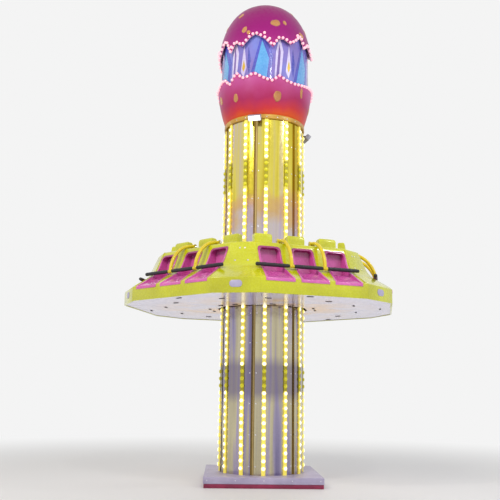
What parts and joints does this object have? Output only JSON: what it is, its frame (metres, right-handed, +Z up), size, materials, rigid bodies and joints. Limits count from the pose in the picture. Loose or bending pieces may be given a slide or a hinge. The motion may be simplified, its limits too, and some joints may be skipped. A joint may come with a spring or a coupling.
{
  "type": "drop tower ride",
  "caption": "Indoor family drop tower: mirror-clad column with lamp strips, hexagonal gondola of bucket seats with lap bars, cracked egg finial on top.",
  "frame": {"origin": "on the column's axis at floor level, in the middle of the plinth", "axes": "+Z up, -Y towards the front lamp strip and the picture's side, +X to the viewer's right"},
  "size_m": [5.0074, 5.0562, 9.08],
  "materials": {
    "plinth_paint": "satin",
    "kick_paint": "satin",
    "mast_steel": "matte",
    "mirror_steel": "polished",
    "lamp_channel": "satin",
    "head_paint": "satin",
    "flood_housing": "satin",
    "egg_gloss": "gloss",
    "band_paint": "satin",
    "carriage_steel": "satin",
    "shoe_polymer": "matte",
    "bearing_steel": "machined",
    "panel_white": "gloss",
    "latch_black": "satin",
    "deck_grey": "satin",
    "yellow_moulding": "gloss",
    "pink_shell": "gloss",
    "arm_yellow": "gloss",
    "bar_foam": "matte",
    "badge_metal": "satin"
  },
  "bodies": {
    "tower": {"base_plinth": "plinth_paint", "base_kick_strip": "kick_paint", "column_mast": "mast_steel", "guide_rails": "mast_steel", "mirror_panels": "mirror_steel", "lamp_strips": "lamp_channel", "column_head": "head_paint", "floodlights": "flood_housing", "egg_lower_shell": "egg_gloss", "egg_band": "band_paint", "egg_upper_shell": "egg_gloss"},
    "carriage": {"lift_frame": "carriage_steel", "guide_shoes": "shoe_polymer"},
    "gondola": {"slew_ring": "bearing_steel", "hub_frame": "carriage_steel", "underside_panels": "panel_white", "underside_latches": "latch_black", "top_deck": "deck_grey", "corner_pylons": "yellow_moulding", "corner_badges": "badge_metal", "bar_pivots": "bearing_steel", "bench_1": "yellow_moulding", "bench_2": "yellow_moulding", "bench_3": "yellow_moulding", "bench_4": "yellow_moulding", "bench_5": "yellow_moulding", "bench_6": "yellow_moulding", "seats_1": "pink_shell", "seats_2": "pink_shell", "seats_3": "pink_shell", "seats_4": "pink_shell", "seats_5": "pink_shell", "seats_6": "pink_shell"},
    "lap_bar_1": {"bar_arms_1": "arm_yellow", "bar_pad_1": "bar_foam"},
    "lap_bar_2": {"bar_arms_2": "arm_yellow", "bar_pad_2": "bar_foam"},
    "lap_bar_3": {"bar_arms_3": "arm_yellow", "bar_pad_3": "bar_foam"},
    "lap_bar_4": {"bar_arms_4": "arm_yellow", "bar_pad_4": "bar_foam"},
    "lap_bar_5": {"bar_arms_5": "arm_yellow", "bar_pad_5": "bar_foam"},
    "lap_bar_6": {"bar_arms_6": "arm_yellow", "bar_pad_6": "bar_foam"}
  },
  "joints": [
    {"name": "gondola_lift", "type": "slide", "parent": "tower", "child": "carriage", "axis": [0, 0, 1], "range_m": [-2.8, 2.2]},
    {"name": "gondola_twist", "type": "hinge", "parent": "carriage", "child": "gondola", "pos_m": [0, 0, 3.2], "axis": [0, 0, 1], "continuous": true},
    {"name": "lap_bar_1_swing", "type": "hinge", "parent": "gondola", "child": "lap_bar_1", "pos_m": [0.4691, -1.4878, 4.034], "axis": [-0.9537, -0.3007, 0], "range_deg": [0, 75]},
    {"name": "lap_bar_2_swing", "type": "hinge", "parent": "gondola", "child": "lap_bar_2", "pos_m": [1.52302, -0.33765, 4.034], "axis": [-0.2164, -0.9763, 0], "range_deg": [0, 75]},
    {"name": "lap_bar_3_swing", "type": "hinge", "parent": "gondola", "child": "lap_bar_3", "pos_m": [1.05392, 1.15015, 4.034], "axis": [0.7373, -0.6756, 0], "range_deg": [0, 75]},
    {"name": "lap_bar_4_swing", "type": "hinge", "parent": "gondola", "child": "lap_bar_4", "pos_m": [-0.4691, 1.4878, 4.034], "axis": [0.9537, 0.3007, 0], "range_deg": [0, 75]},
    {"name": "lap_bar_5_swing", "type": "hinge", "parent": "gondola", "child": "lap_bar_5", "pos_m": [-1.52302, 0.33765, 4.034], "axis": [0.2164, 0.9763, 0], "range_deg": [0, 75]},
    {"name": "lap_bar_6_swing", "type": "hinge", "parent": "gondola", "child": "lap_bar_6", "pos_m": [-1.05392, -1.15015, 4.034], "axis": [-0.7373, 0.6756, 0], "range_deg": [0, 75]}
  ]
}
